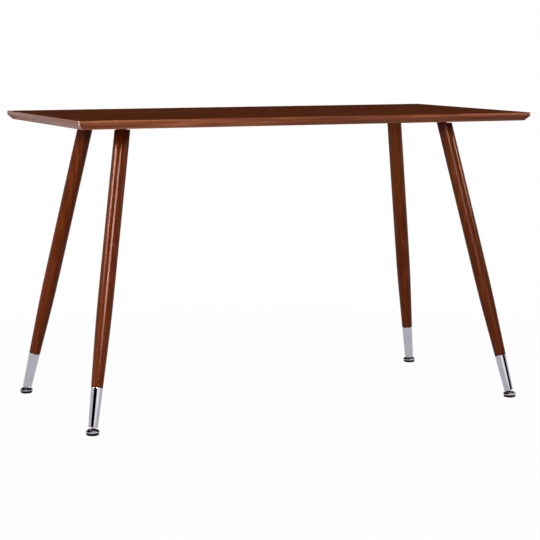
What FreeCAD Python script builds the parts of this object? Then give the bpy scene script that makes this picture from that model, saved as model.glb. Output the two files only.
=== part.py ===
"""Dining table, 1200 x 600 x 738 mm, on four splayed tapered legs.

A wood-based panel with an undercut edge lies on two flat steel rails, one under each end.
A round steel leg stands under each rail end and leans outwards to the corner of the table.
Each leg ends in a chrome ferrule, and a levelling foot with a ball joint screws into it.

X is the table's length, Y its width with the front at -Y, and Z is up from the floor.
"""
import FreeCAD, Part

import math
import os

import Sketcher

# Driving sizes, in millimetres
SIZES = {
    # The table as a whole
    "table_length": 1200,
    "table_width": 600,
    "table_height": 738,
    # Panel: a square band along the edge, and a long bevel below it that runs inwards
    "top_thickness": 21,
    "edge_band": 9.3,
    "edge_undercut": 10.8,
    "arris_radius": 1,
    # Where a leg's axis meets the panel and where it meets the foot, from the panel's edges
    "leg_end_inset": 162,
    "leg_side_inset": 162,
    "foot_end_inset": 32,
    "foot_side_inset": 24,
    # Rail: flat rectangular tube, whose ends stop a little behind the legs' axes
    "rail_width": 20,
    "rail_height": 10,
    "rail_wall": 1.5,
    "rail_corner_radius": 2,
    "rail_inner_radius": 0.6,
    "rail_setback": 3.3,
    "rail_plug_length": 10,
    "rail_plug_wall": 1.4,
    "rail_plug_flange": 1.5,
    # Fasteners between rail and panel
    "screw_to_plug": 20,
    "screw_radius": 3,
    "screw_length": 14,
    "screw_tip": 0.6,
    "screw_head_radius": 5.6,
    "screw_head_height": 4,
    "screw_head_band": 1.2,
    "screw_head_crown": 4.2,
    "screw_socket_radius": 2.3,
    "screw_socket_depth": 2.2,
    "screw_hole_radius": 3.4,
    "screw_access_radius": 7,
    "washer_radius": 6.2,
    "washer_thickness": 1.5,
    "insert_radius": 5,
    "insert_length": 13,
    # Leg tube: straight, then a long tangent curve into a straight taper
    "leg_radius": 19,
    "leg_wall": 1.2,
    "leg_blend": 67,
    "leg_plate_thickness": 3,
    # Ferrule: carries the taper on, flush with the tube
    "ferrule_length": 94,
    "ferrule_top_radius": 14.3,
    "ferrule_tip_radius": 11.6,
    "ferrule_wall": 1.5,
    "ferrule_end_wall": 2,
    "ferrule_mouth_radius": 4.4,
    "ferrule_edge": 0.5,
    "ferrule_spigot_length": 15,
    # Threaded bush inside the ferrule
    "bush_length": 31,
    "bush_thread_depth": 27,
    # Levelling stud with a ball end
    "ball_radius": 5,
    "neck_radius": 3,
    "neck_length": 9.4,
    "thread_radius": 4,
    "thread_lead": 0.8,
    "glide_reach": 10,
    # Foot pad: a rounded sole, the collar inside the cap and the lip round the ball
    "ball_height": 7.8,
    "pad_radius": 15.5,
    "pad_sole_curve": 3.5,
    "pad_rim_height": 7,
    "pad_collar_height": 1.6,
    "pad_boss_radius": 8.5,
    "pad_lip_rise": 2.6,
    # Foot cap: chrome shell, widest just above its rim, open at the top for the neck
    "cap_radius": 17,
    "cap_rim_radius": 16.2,
    "cap_rim_inner_radius": 15,
    "cap_widest_rise": 1.9,
    "cap_rim_curve": 3,
    "cap_height": 15.2,
    "cap_crown_curve": 14,
    "cap_hole_radius": 6.2,
    "cap_wall": 1,
    # Clearances, and how far a cut runs past what it cuts
    "fit_gap": 0.05,
    "collar_gap": 0.1,
    "stop_gap": 0.2,
    "overrun": 5,
}
SCREWS_PER_RAIL = 4
RAILS = 2
SOCKET_SIDES = 6
FULL_TURN = 360
HALF_TURN = 180

CORNERS = {
    "front_left": (-1, -1),
    "front_right": (1, -1),
    "back_left": (-1, 1),
    "back_right": (1, 1),
}


class Size:
    """A size as a number, and as the expression that works it out from the sheet's cells."""

    def __init__(self, value, text):
        self.value = value
        self.text = text

    @staticmethod
    def of(thing):
        """Wraps a plain number; a Size comes back as it is."""
        return thing if isinstance(thing, Size) else Size(thing, str(thing))

    def __add__(self, other):
        other = Size.of(other)
        return Size(self.value + other.value, f"({self.text} + {other.text})")

    def __sub__(self, other):
        other = Size.of(other)
        return Size(self.value - other.value, f"({self.text} - {other.text})")

    def __mul__(self, other):
        other = Size.of(other)
        return Size(self.value * other.value, f"({self.text} * {other.text})")

    def __truediv__(self, other):
        other = Size.of(other)
        return Size(self.value / other.value, f"({self.text} / {other.text})")

    def __neg__(self):
        return Size(-self.value, f"(-1 * {self.text})")


def root(square):
    return Size(math.sqrt(square.value), f"sqrt({square.text})")


def sine(angle):
    return Size(math.sin(math.radians(angle.value)), f"sin({angle.text})")


def cosine(angle):
    return Size(math.cos(math.radians(angle.value)), f"cos({angle.text})")


def tangent(angle):
    return Size(math.tan(math.radians(angle.value)), f"tan({angle.text})")


def slope_angle(ratio):
    """The angle, in degrees, whose tangent is the ratio."""
    return Size(math.degrees(math.atan(ratio.value)), f"atan({ratio.text})")


def bearing(x, y):
    """The direction of (x, y) in plan, in degrees from +X."""
    return Size(math.degrees(math.atan2(y.value, x.value)), f"atan2({y.text}; {x.text})")


document = FreeCAD.newDocument("dining_table")
sheet = document.addObject("Spreadsheet::Sheet", "sizes")
for row, (alias, number) in enumerate(SIZES.items(), start=1):
    sheet.set(f"A{row}", alias)
    sheet.set(f"B{row}", str(number))
    sheet.setAlias(f"B{row}", alias)
document.recompute()


def size(alias):
    return Size(float(SIZES[alias]), f"<<sizes>>.{alias}")


# Sketches and bodies


def origin_part(body, role):
    return next(part for part in body.Origin.OriginFeatures if part.Role == role)


def new_body(label):
    body = document.addObject("PartDesign::Body", label)
    body.Label = label
    return body


def new_sketch(body, name, role, offset=None):
    """An empty sketch on one of the body's own planes, moved along its normal by offset."""
    sketch = body.newObject("Sketcher::SketchObject", name)
    sketch.AttachmentSupport = [(origin_part(body, role), "")]
    sketch.MapMode = "FlatFace"
    if offset is not None:
        sketch.setExpression("AttachmentOffset.Base.z", offset.text)
    return sketch


def bind(sketch, kind, *picks, to):
    """Adds a dimension between the picked points or on the picked curve, and ties it to a size."""
    index = sketch.addConstraint(Sketcher.Constraint(kind, *picks, to.value))
    sketch.setExpression(f"Constraints[{index}]", to.text)


def arc_between(start, end, radius, centre_side):
    """The arc of under half a turn from start to end, and whether it runs clockwise."""
    chord = end - start
    rise = math.sqrt(radius ** 2 - (chord.Length / 2) ** 2)
    left = FreeCAD.Vector(-chord.y, chord.x, 0).normalize()
    clockwise = centre_side == "right"
    centre = start + chord / 2 + left * (-rise if clockwise else rise)
    first, last = (end, start) if clockwise else (start, end)
    circle = Part.Circle(centre, FreeCAD.Vector(0, 0, 1), radius)
    return Part.ArcOfCircle(circle, circle.parameter(first), circle.parameter(last)), clockwise


def draw_outline(sketch, corners, arcs=None):
    """Draws a closed outline through the corners, each an (across, up) pair of sizes.

    arcs maps the number of a corner to the (radius, side of the centre) of the arc that starts
    there; every other side is straight.
    """
    arcs = arcs or {}
    corners = [(Size.of(across), Size.of(up)) for across, up in corners]
    points = [FreeCAD.Vector(across.value, up.value, 0) for across, up in corners]
    ends = []
    for number, start in enumerate(points):
        end = points[(number + 1) % len(points)]
        if number in arcs:
            radius, centre_side = arcs[number]
            curve, clockwise = arc_between(start, end, radius.value, centre_side)
            side = sketch.addGeometry(curve)
            bind(sketch, "Radius", side, to=radius)
            ends.append((side, 2, 1) if clockwise else (side, 1, 2))
        else:
            side = sketch.addGeometry(Part.LineSegment(start, end))
            ends.append((side, 1, 2))
    for number, (side, start_end, _) in enumerate(ends):
        before, _, before_end = ends[number - 1]
        sketch.addConstraint(Sketcher.Constraint("Coincident", before, before_end, side, start_end))
        across, up = corners[number]
        bind(sketch, "DistanceX", -1, 1, side, start_end, to=across)
        bind(sketch, "DistanceY", -1, 1, side, start_end, to=up)


def draw_circle(sketch, across, up, radius):
    """A circle, tied to its place and radius."""
    across, up = Size.of(across), Size.of(up)
    centre = FreeCAD.Vector(across.value, up.value, 0)
    side = sketch.addGeometry(Part.Circle(centre, FreeCAD.Vector(0, 0, 1), radius.value))
    bind(sketch, "Radius", side, to=radius)
    bind(sketch, "DistanceX", -1, 1, side, 3, to=across)
    bind(sketch, "DistanceY", -1, 1, side, 3, to=up)


def box_corners(half_width, half_height):
    return [
        (-half_width, -half_height),
        (half_width, -half_height),
        (half_width, half_height),
        (-half_width, half_height),
    ]


def rounded_box(half_width, half_height, radius):
    """Corners and arcs of a rectangle with rounded corners, anticlockwise from the lower left."""
    flat_width = half_width - radius
    flat_height = half_height - radius
    corners = [
        (-flat_width, -half_height),
        (flat_width, -half_height),
        (half_width, -flat_height),
        (half_width, flat_height),
        (flat_width, half_height),
        (-flat_width, half_height),
        (-half_width, flat_height),
        (-half_width, -flat_height),
    ]
    return corners, {1: (radius, "left"), 3: (radius, "left"), 5: (radius, "left"), 7: (radius, "left")}


def extrude(body, kind, name, sketch, length=None, **options):
    """Pads or pockets a sketch by length, or right through where no length is given."""
    feature = body.newObject(f"PartDesign::{kind}", name)
    feature.Profile = sketch
    if length is None:
        feature.Type = "ThroughAll"
    else:
        feature.setExpression("Length", length.text)
    for option, setting in options.items():
        setattr(feature, option, setting)
    return feature


def turn(body, name, corners, arcs=None):
    """Revolves an outline, drawn as (radius, height), about the body's Z axis."""
    sketch = new_sketch(body, f"{name}_outline", "XZ_Plane")
    draw_outline(sketch, corners, arcs)
    feature = body.newObject("PartDesign::Revolution", name)
    feature.Profile = sketch
    feature.ReferenceAxis = (sketch, ["V_Axis"])
    feature.Angle = FULL_TURN
    return feature


def place(body, x, y, z, yaw=0, pitch=0):
    """Ties a body's place to sizes: turned by pitch about its Y axis, then by yaw about Z."""
    x, y, z, yaw, pitch = (Size.of(number) for number in (x, y, z, yaw, pitch))
    vector = f"vector({x.text}; {y.text}; {z.text})"
    rotation = f"rotation({yaw.text}; {pitch.text}; 0)"
    body.setExpression("Placement", f"placement({vector}; {rotation})")


# Places and directions that several pieces share

panel_underside = size("table_height") - size("top_thickness")
rail_x = size("table_length") / 2 - size("leg_end_inset")
end_run = size("leg_end_inset") - size("foot_end_inset")
side_run = size("leg_side_inset") - size("foot_side_inset")
splay_run = root(end_run * end_run + side_run * side_run)
leg_drop = panel_underside - size("ball_height")
splay = slope_angle(splay_run / leg_drop)

# The legs' axes cross the level of their rims this far from the table's middle
rim_y = size("table_width") / 2 - size("leg_side_inset") + size("rail_height") * side_run / leg_drop
rail_half_length = rim_y - size("rail_setback") - size("rail_plug_flange")
rail_inner_half_width = size("rail_width") / 2 - size("rail_wall")
rail_inner_half_height = size("rail_height") / 2 - size("rail_wall")

# The outermost screws stand clear of the plugs, and the others are spread evenly between them
screw_span = (rail_half_length - size("rail_plug_length") - size("screw_to_plug")) * 2
screw_pitch = screw_span / (SCREWS_PER_RAIL - 1)

# Heights along a leg's axis, measured up from the middle of the foot's ball
rim_level = panel_underside - size("rail_height") - size("ball_height")
ferrule_tip = size("glide_reach")
ferrule_top = ferrule_tip + size("ferrule_length")
bush_seat = ferrule_tip + size("ferrule_end_wall")
taper_ratio = (size("ferrule_top_radius") - size("ferrule_tip_radius")) / size("ferrule_length")
taper = slope_angle(taper_ratio)

# Radii that one piece hands on to the next
ferrule_bore_low = size("ferrule_tip_radius") - size("ferrule_wall")
spigot_radius = size("ferrule_top_radius") - size("leg_wall") - size("fit_gap")
ferrule_bore_high = spigot_radius - size("ferrule_wall")
thread_bore = size("thread_radius") + size("fit_gap")


def foot_place(corner):
    """Plan position of a foot and the direction in which its leg leans outwards."""
    side_x, side_y = CORNERS[corner]
    x = (size("table_length") / 2 - size("foot_end_inset")) * side_x
    y = (size("table_width") / 2 - size("foot_side_inset")) * side_y
    return x, y, bearing(end_run * side_x, side_run * side_y)


def place_on_leg(body, corner):
    """Stands a piece on a leg's axis: its Z axis runs up the leg from the ball."""
    x, y, outwards = foot_place(corner)
    place(body, x, y, size("ball_height"), yaw=outwards, pitch=-splay)


def place_on_floor(body, corner):
    """Stands a piece level on the floor below the ball."""
    x, y, outwards = foot_place(corner)
    place(body, x, y, 0, yaw=outwards)


def rail_row(body, *features):
    """Repeats features along one rail and again along the other, as separate solids."""
    pattern = body.newObject("PartDesign::LinearPattern", "along_the_rails")
    pattern.Originals = list(features)
    pattern.Direction = (origin_part(body, "Y_Axis"), [""])
    pattern.Occurrences = SCREWS_PER_RAIL
    pattern.setExpression("Length", screw_span.text)
    pattern.Direction2 = (origin_part(body, "X_Axis"), [""])
    pattern.Occurrences2 = RAILS
    pattern.setExpression("Length2", (rail_x * 2).text)
    body.Tip = pattern


def place_at_first_screw(body, height):
    place(body, -rail_x, -screw_span / 2, height)


# Panel


def make_table_top():
    """The panel. Its own XY plane is where the square band meets the bevel."""
    body = new_body("table_top")
    half_length = size("table_length") / 2
    half_width = size("table_width") / 2
    bevel_height = size("top_thickness") - size("edge_band")
    outline = new_sketch(body, "top_outline", "XY_Plane")
    draw_outline(outline, box_corners(half_length, half_width))
    extrude(body, "Pad", "band", outline, size("edge_band"))
    bevel_outline = new_sketch(body, "bevel_outline", "XY_Plane")
    draw_outline(bevel_outline, box_corners(half_length, half_width))
    bevel = extrude(body, "Pad", "bevel", bevel_outline, bevel_height, Reversed=True)
    bevel.setExpression("TaperAngle", (-slope_angle(size("edge_undercut") / bevel_height)).text)
    document.recompute()
    panel = body.Tip
    arrises = body.newObject("PartDesign::Fillet", "arrises")
    arrises.Base = (panel, edges_above(panel.Shape, -bevel_height.value))
    arrises.setExpression("Radius", size("arris_radius").text)
    holes = new_sketch(body, "insert_places", "XY_Plane", offset=-bevel_height)
    for side in (-1, 1):
        for number in range(SCREWS_PER_RAIL):
            y = screw_pitch * number - screw_span / 2
            draw_circle(holes, rail_x * side, y, size("insert_radius") + size("fit_gap"))
    extrude(body, "Pocket", "insert_holes", holes, size("insert_length"), Reversed=True)
    place(body, 0, 0, size("table_height") - size("edge_band"))
    return body


def edges_above(shape, bottom):
    """Names of a shape's edges that don't lie in its underside."""
    names = []
    for number, edge in enumerate(shape.Edges, start=1):
        highest = max(vertex.Point.z for vertex in edge.Vertexes)
        if not math.isclose(highest, bottom, abs_tol=Part.Precision.confusion()):
            names.append(f"Edge{number}")
    return names


# Rails


def make_rail(label, side):
    """Flat tube. Each screw has a clearance hole above and an access hole below."""
    body = new_body(label)
    half_width = size("rail_width") / 2
    half_height = size("rail_height") / 2
    outside = new_sketch(body, "tube_outside", "XZ_Plane")
    draw_outline(outside, *rounded_box(half_width, half_height, size("rail_corner_radius")))
    extrude(body, "Pad", "tube", outside, rail_half_length * 2, Midplane=True)
    inside = new_sketch(body, "tube_inside", "XZ_Plane")
    inner_radius = size("rail_inner_radius")
    draw_outline(inside, *rounded_box(rail_inner_half_width, rail_inner_half_height, inner_radius))
    extrude(body, "Pocket", "tube_bore", inside, Midplane=True)
    for name, alias, upwards in (("screw_holes", "screw_hole_radius", True),
                                 ("access_holes", "screw_access_radius", False)):
        places = new_sketch(body, f"{name}_places", "XY_Plane")
        for number in range(SCREWS_PER_RAIL):
            y = screw_pitch * number - screw_span / 2
            draw_circle(places, 0, y, size(alias))
        extrude(body, "Pocket", name, places, Reversed=upwards)
    place(body, rail_x * side, 0, panel_underside - half_height)
    return body


def make_rail_end_cap(label, side_x, side_y):
    """Hollow plug with a flange. Its Y axis points out of the rail, from the tube's end."""
    body = new_body(label)
    gap = size("fit_gap")
    wall = size("rail_plug_wall")
    half_width = size("rail_width") / 2
    half_height = size("rail_height") / 2
    plug_half_width = rail_inner_half_width - gap
    plug_half_height = rail_inner_half_height - gap
    flange_outline = new_sketch(body, "flange_outline", "XZ_Plane")
    draw_outline(flange_outline, *rounded_box(half_width, half_height, size("rail_corner_radius")))
    extrude(body, "Pad", "flange", flange_outline, size("rail_plug_flange"), Reversed=True)
    plug_outline = new_sketch(body, "plug_outline", "XZ_Plane")
    draw_outline(plug_outline, *rounded_box(plug_half_width, plug_half_height, size("rail_inner_radius")))
    extrude(body, "Pad", "plug", plug_outline, size("rail_plug_length"))
    hollow_outline = new_sketch(body, "hollow_outline", "XZ_Plane")
    draw_outline(hollow_outline, box_corners(plug_half_width - wall, plug_half_height - wall))
    extrude(body, "Pocket", "hollow", hollow_outline, size("rail_plug_length"), Reversed=True)
    yaw = 0 if side_y > 0 else HALF_TURN
    height = panel_underside - half_height
    place(body, rail_x * side_x, rail_half_length * side_y, height, yaw=yaw)
    return body


# Fasteners


def make_threaded_inserts():
    """Press-in inserts, flush with the panel's underside."""
    body = new_body("threaded_inserts")
    bore = size("screw_radius") + size("fit_gap")
    radius = size("insert_radius")
    length = size("insert_length")
    insert = turn(body, "insert", [(bore, 0), (radius, 0), (radius, length), (bore, length)])
    rail_row(body, insert)
    place_at_first_screw(body, panel_underside)
    return body


def make_rail_washers():
    """Washers inside the rails, against the upper wall."""
    body = new_body("rail_washers")
    bore = size("screw_hole_radius")
    radius = size("washer_radius")
    thickness = size("washer_thickness")
    washer = turn(body, "washer", [(bore, 0), (radius, 0), (radius, thickness), (bore, thickness)])
    rail_row(body, washer)
    place_at_first_screw(body, panel_underside - size("rail_wall") - thickness)
    return body


def make_rail_screws():
    """Pan head screws with a socket. The heads bear on the washers, at the body's XY plane."""
    body = new_body("rail_screws")
    tip = size("screw_tip")
    radius = size("screw_radius")
    length = size("screw_length")
    head_radius = size("screw_head_radius")
    head_height = size("screw_head_height")
    band = size("screw_head_band")
    crown = size("screw_socket_radius") + band
    screw = turn(
        body,
        "screw",
        [
            (0, -head_height),
            (crown, -head_height),
            (head_radius, -band),
            (head_radius, 0),
            (radius, 0),
            (radius, length - tip),
            (radius - tip, length),
            (0, length),
        ],
        {1: (size("screw_head_crown"), "left")},
    )
    socket_outline = new_sketch(body, "socket_outline", "XY_Plane", offset=-head_height)
    socket = size("screw_socket_radius")
    angles = [Size.of(FULL_TURN * number / SOCKET_SIDES) for number in range(SOCKET_SIDES)]
    draw_outline(socket_outline, [(socket * cosine(angle), socket * sine(angle)) for angle in angles])
    recess = extrude(body, "Pocket", "socket", socket_outline, size("screw_socket_depth"), Reversed=True)
    rail_row(body, screw, recess)
    place_at_first_screw(body, panel_underside - size("rail_wall") - size("washer_thickness"))
    return body


# Legs


def height_at(level, across):
    """Height along a leg's axis of the level plane, at a distance outwards from that axis."""
    return level / cosine(splay) - across * tangent(splay)


def cut_level(body, name, level, far):
    """Cuts a leg piece off level with the floor, at a height above the ball, towards far."""
    reach = size("leg_radius") + size("overrun")
    sketch = new_sketch(body, f"{name}_outline", "XZ_Plane")
    draw_outline(
        sketch,
        [(-reach, height_at(level, -reach)), (reach, height_at(level, reach)), (reach, far), (-reach, far)],
    )
    extrude(body, "Pocket", name, sketch, Midplane=True)


def leg_profile_radii(offset):
    """Ends of the leg's long curve and of its taper, drawn in from the surface by offset."""
    blend = size("leg_blend")
    radius = size("leg_radius") - offset
    bend = ferrule_top + (size("leg_radius") - size("ferrule_top_radius")) / taper_ratio
    upper = (radius, bend + blend)
    lower = (radius - blend * sine(taper), bend - blend * cosine(taper))
    end = (size("ferrule_top_radius") - offset, ferrule_top)
    return upper, lower, end


def make_leg_tube(label, corner):
    """The tube: straight, then a tangent curve into the taper, mitred level under the rail."""
    body = new_body(label)
    wall = size("leg_wall")
    curve = size("leg_blend") / tangent(taper / 2)
    top = height_at(rim_level, -size("leg_radius")) + size("overrun")
    outer_upper, outer_lower, outer_end = leg_profile_radii(Size.of(0))
    inner_upper, inner_lower, inner_end = leg_profile_radii(wall)
    turn(
        body,
        "tube",
        [
            outer_end,
            outer_lower,
            outer_upper,
            (size("leg_radius"), top),
            (size("leg_radius") - wall, top),
            inner_upper,
            inner_lower,
            inner_end,
        ],
        {1: (curve, "left"), 5: (curve, "right")},
    )
    cut_level(body, "mitre", rim_level, top + size("overrun"))
    place_on_leg(body, corner)
    return body


def make_leg_top_plate(label, corner):
    """Disc welded into the tube's mitred top, flush with its rim."""
    body = new_body(label)
    radius = size("leg_radius") - size("leg_wall") - size("fit_gap")
    underside = rim_level - size("leg_plate_thickness")
    top = height_at(rim_level, -size("leg_radius")) + size("overrun")
    bottom = height_at(underside, size("leg_radius")) - size("overrun")
    turn(body, "disc", [(0, bottom), (radius, bottom), (radius, top), (0, top)])
    cut_level(body, "upper_face", rim_level, top + size("overrun"))
    cut_level(body, "lower_face", underside, bottom - size("overrun"))
    place_on_leg(body, corner)
    return body


def make_ferrule(label, corner):
    """Tapered sleeve with an end wall, and a straight spigot that goes up into the tube."""
    body = new_body(label)
    edge = size("ferrule_edge")
    mouth = size("ferrule_mouth_radius")
    tip_radius = size("ferrule_tip_radius")
    top_radius = size("ferrule_top_radius")
    spigot_end = ferrule_top + size("ferrule_spigot_length")
    turn(
        body,
        "sleeve",
        [
            (mouth, ferrule_tip),
            (tip_radius - edge, ferrule_tip),
            (tip_radius + edge * taper_ratio, ferrule_tip + edge),
            (top_radius - edge * taper_ratio, ferrule_top - edge),
            (top_radius - edge, ferrule_top),
            (spigot_radius, ferrule_top),
            (spigot_radius, spigot_end),
            (ferrule_bore_high, spigot_end),
            (ferrule_bore_high, ferrule_top),
            (ferrule_bore_low, bush_seat),
            (mouth, bush_seat),
        ],
    )
    place_on_leg(body, corner)
    return body


def make_foot_bush(label, corner):
    """Blind threaded bush, on the ferrule's end wall and tapered like its bore."""
    body = new_body(label)
    bore_ratio = (ferrule_bore_high - ferrule_bore_low) / (ferrule_top - bush_seat)
    low_radius = ferrule_bore_low - size("fit_gap")
    high_radius = low_radius + size("bush_length") * bore_ratio
    top = bush_seat + size("bush_length")
    bore_end = bush_seat + size("bush_thread_depth")
    turn(
        body,
        "bush",
        [
            (thread_bore, bush_seat),
            (low_radius, bush_seat),
            (high_radius, top),
            (0, top),
            (0, bore_end),
            (thread_bore, bore_end),
        ],
    )
    place_on_leg(body, corner)
    return body


# Levelling feet


def make_levelling_stud(label, corner):
    """Threaded stud, a neck and a ball. Fully screwed in, it stops at the end of the bush."""
    body = new_body(label)
    ball = size("ball_radius")
    neck = size("neck_radius")
    lead = size("thread_lead")
    thread = size("thread_radius")
    top = bush_seat + size("bush_thread_depth") - size("stop_gap")
    turn(
        body,
        "stud",
        [
            (0, -ball),
            (neck, root(ball * ball - neck * neck)),
            (neck, size("neck_length")),
            (thread, size("neck_length") + lead),
            (thread, top - lead),
            (thread - lead, top),
            (0, top),
        ],
        {0: (ball, "left")},
    )
    place_on_leg(body, corner)
    return body


def make_foot_pad(label, corner):
    """Moulded pad: a rounded sole, and a boss whose lip closes over the ball."""
    body = new_body(label)
    rim = size("pad_rim_height")
    radius = size("pad_radius")
    curve = size("pad_sole_curve")
    collar = size("cap_rim_inner_radius") - size("collar_gap")
    lip_rise = size("pad_lip_rise")
    lip = size("ball_height") + lip_rise
    socket = size("ball_radius") + size("fit_gap")
    turn(
        body,
        "pad",
        [
            (0, 0),
            (radius - curve, 0),
            (radius, curve),
            (radius, rim),
            (collar, rim),
            (collar, rim + size("pad_collar_height")),
            (size("pad_boss_radius"), lip),
            (root(socket * socket - lip_rise * lip_rise), lip),
            (0, size("ball_height") - socket),
        ],
        {1: (curve, "left"), 7: (socket, "right")},
    )
    place_on_floor(body, corner)
    return body


def make_foot_cap(label, corner):
    """Pressed chrome shell: a rolled rim on the pad's shoulder, and a crown with a hole."""
    body = new_body(label)
    wall = size("cap_wall")
    rim = size("pad_rim_height")
    widest = rim + size("cap_widest_rise")
    hole = size("cap_hole_radius")
    rim_inner = size("cap_rim_inner_radius")
    turn(
        body,
        "shell",
        [
            (rim_inner, rim),
            (size("cap_rim_radius"), rim),
            (size("cap_radius"), widest),
            (hole, size("cap_height")),
            (hole, size("cap_height") - wall),
            (size("cap_radius") - wall, widest),
            (rim_inner, widest - wall),
        ],
        {
            1: (size("cap_rim_curve"), "left"),
            2: (size("cap_crown_curve"), "left"),
            4: (size("cap_crown_curve") - wall, "right"),
        },
    )
    place_on_floor(body, corner)
    return body


# The whole table

sub_parts = [
    make_table_top(),
    make_rail("cross_rail_left", -1),
    make_rail("cross_rail_right", 1),
    make_threaded_inserts(),
    make_rail_washers(),
    make_rail_screws(),
]
leg_pieces = {
    "leg_tube": make_leg_tube,
    "leg_top_plate": make_leg_top_plate,
    "ferrule": make_ferrule,
    "foot_bush": make_foot_bush,
    "levelling_stud": make_levelling_stud,
    "foot_cap": make_foot_cap,
    "foot_pad": make_foot_pad,
}
for corner_name, (corner_x, corner_y) in CORNERS.items():
    sub_parts.append(make_rail_end_cap(f"rail_end_cap_{corner_name}", corner_x, corner_y))
    for piece, make in leg_pieces.items():
        sub_parts.append(make(f"{piece}_{corner_name}", corner_name))

document.recompute()

# Nothing is written unless every object and every sub-part came out sound
failed = [item.Name for item in document.Objects if {"Invalid", "Error"} & set(item.State)]
failed += [body.Label for body in sub_parts if body.Shape.isNull() or not body.Shape.isValid()]
if failed:
    raise RuntimeError(f"not sound: {failed}")

os.makedirs("parts", exist_ok=True)
for body in sub_parts:
    body.Shape.exportStep(f"parts/{body.Label}.step")
    box = body.Shape.optimalBoundingBox()
    print(
        f"{body.Label:32s} solids {len(body.Shape.Solids):2d}  volume {body.Shape.Volume:12.1f}"
        f"  z {box.ZMin:7.2f} to {box.ZMax:7.2f}"
    )
print(f"splay {splay.value:.3f} degrees, ball to panel along the leg {leg_drop.value / cosine(splay).value:.2f}")
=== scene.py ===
"""Dining table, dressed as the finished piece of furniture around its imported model.

A dark wood-grain panel with an undercut edge lies on two black steel rails. Four splayed legs
in printed wood grain taper down to chrome ferrules, and each stands on a levelling foot.
Lengths are in metres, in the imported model's own frame.
"""

import logging
import math
from dataclasses import dataclass, replace
from enum import Enum, IntEnum
from typing import Mapping, Sequence

import bmesh
import bpy
from bmesh.types import BMEdge, BMesh, BMVert
from bpy.types import Material, Node, NodeSocket, NodeTree, Object, World
from mathutils import Matrix, Vector


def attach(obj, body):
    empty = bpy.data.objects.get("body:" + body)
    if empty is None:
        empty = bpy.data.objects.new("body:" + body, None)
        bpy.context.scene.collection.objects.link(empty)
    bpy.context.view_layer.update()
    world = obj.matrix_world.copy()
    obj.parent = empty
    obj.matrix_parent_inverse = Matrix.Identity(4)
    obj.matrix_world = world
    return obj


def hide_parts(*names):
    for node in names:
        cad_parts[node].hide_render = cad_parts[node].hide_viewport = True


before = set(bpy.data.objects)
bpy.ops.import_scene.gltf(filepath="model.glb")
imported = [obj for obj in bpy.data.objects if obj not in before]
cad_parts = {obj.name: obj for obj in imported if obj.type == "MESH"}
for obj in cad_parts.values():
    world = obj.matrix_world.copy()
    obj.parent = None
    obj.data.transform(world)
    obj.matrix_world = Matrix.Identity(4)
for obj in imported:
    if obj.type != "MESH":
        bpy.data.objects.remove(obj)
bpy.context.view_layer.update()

log = logging.getLogger("dining_table")

Colour = tuple[float, float, float]
Point = tuple[float, float, float]
Pair = tuple[float, float]
Sockets = Mapping[str, NodeSocket]

GRAIN_PLACE = "grain_place"
STATIC_BODY = "table"
WHITE = (1.0, 1.0, 1.0)
MERGE_DISTANCE = 1e-7


class Corner(Enum):
    """A corner of the table, as its side along X and its side along Y."""

    FRONT_LEFT = (-1, -1)
    FRONT_RIGHT = (1, -1)
    BACK_LEFT = (-1, 1)
    BACK_RIGHT = (1, 1)

    @property
    def label(self) -> str:
        """The corner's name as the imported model's nodes have it."""
        return self.name.lower()


@dataclass(frozen=True)
class Layout:
    """The sizes that several sub-assemblies share, and the places that follow from them.

    A leg's axis meets the panel leg_inset from its edges, and runs out from there by end_run
    towards the table's end and by side_run towards its front or back.
    """

    length: float = 1.2
    width: float = 0.6
    height: float = 0.738
    panel_thickness: float = 0.021
    leg_inset: float = 0.162
    end_run: float = 0.130
    side_run: float = 0.138
    ball_height: float = 0.0078
    rail_height: float = 0.010
    rail_width: float = 0.020

    @property
    def underside(self) -> float:
        """Height of the panel's underside."""
        return self.height - self.panel_thickness

    @property
    def leg_drop(self) -> float:
        """Height of the panel's underside above the foot's ball."""
        return self.underside - self.ball_height

    def foot_frame(self, corner: Corner) -> Matrix:
        """Places a piece level on the floor under a foot's ball, with its X axis outwards.

        Args:
            corner: The foot's corner.

        Returns:
            The matrix from the piece's frame to the table's.
        """
        side_x, side_y = corner.value
        x = (self.length / 2 - self.leg_inset + self.end_run) * side_x
        y = (self.width / 2 - self.leg_inset + self.side_run) * side_y
        bearing = math.atan2(self.side_run * side_y, self.end_run * side_x)
        return Matrix.Translation((x, y, 0)) @ Matrix.Rotation(bearing, 4, "Z")

    def leg_frame(self, corner: Corner) -> Matrix:
        """Places a piece on a leg's axis, with its origin in the ball and Z up the leg.

        Args:
            corner: The leg's corner.

        Returns:
            The matrix from the piece's frame to the table's.
        """
        splay = math.atan2(math.hypot(self.end_run, self.side_run), self.leg_drop)
        up_to_ball = Matrix.Translation((0, 0, self.ball_height))
        return self.foot_frame(corner) @ up_to_ball @ Matrix.Rotation(-splay, 4, "Y")


LAYOUT = Layout()


# Node trees

# The Mix node's own numbers for its two colours and for the blended one
MIX_FIRST, MIX_SECOND, MIX_RESULT = 6, 7, 2


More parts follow.
